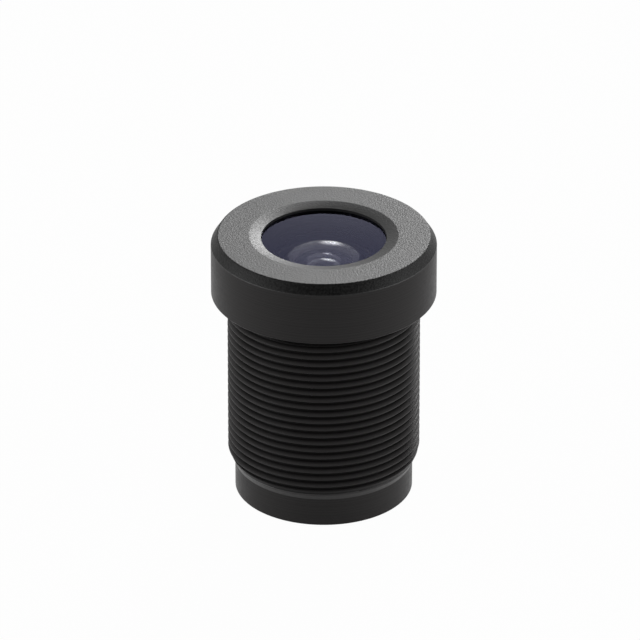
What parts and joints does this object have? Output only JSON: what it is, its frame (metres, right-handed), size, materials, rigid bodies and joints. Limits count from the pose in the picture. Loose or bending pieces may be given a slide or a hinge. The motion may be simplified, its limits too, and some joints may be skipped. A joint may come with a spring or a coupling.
{
  "type": "board-mount camera lens",
  "caption": "Small fixed-focus camera lens with a wide round head, a fine mounting thread along the barrel and a plain nose at the sensor end.",
  "frame": {"origin": "centre of the nose end, on the optical axis", "axes": "+Z along the optical axis, from the sensor side to the front glass"},
  "size_m": [0.014, 0.014, 0.0175],
  "materials": {
    "black_anodised": "black anodised, bead blasted on the face and turned on the sides",
    "black_ring": "matt black anodised",
    "coated_glass": "polished, with a blue-violet anti-reflection coating",
    "filter_glass": "polished, with an infrared-cut coating",
    "black_film": "matt black film",
    "black_rubber": "plain"
  },
  "bodies": {
    "root": {"lens_barrel": "black_anodised", "front_cap": "black_anodised", "front_element": "coated_glass", "front_seal_ring": "black_rubber", "front_spacer": "black_ring", "front_light_shield": "black_film", "second_element": "coated_glass", "middle_spacer": "black_ring", "middle_light_shield": "black_film", "third_element": "coated_glass", "stop_spacer": "black_ring", "aperture_stop": "black_ring", "doublet_crown": "coated_glass", "doublet_flint": "coated_glass", "doublet_light_shield": "black_film", "rear_spacer": "black_ring", "rear_element": "coated_glass", "rear_light_shield": "black_film", "rear_retaining_ring": "black_ring", "ir_cut_filter": "filter_glass"}
  },
  "joints": []
}
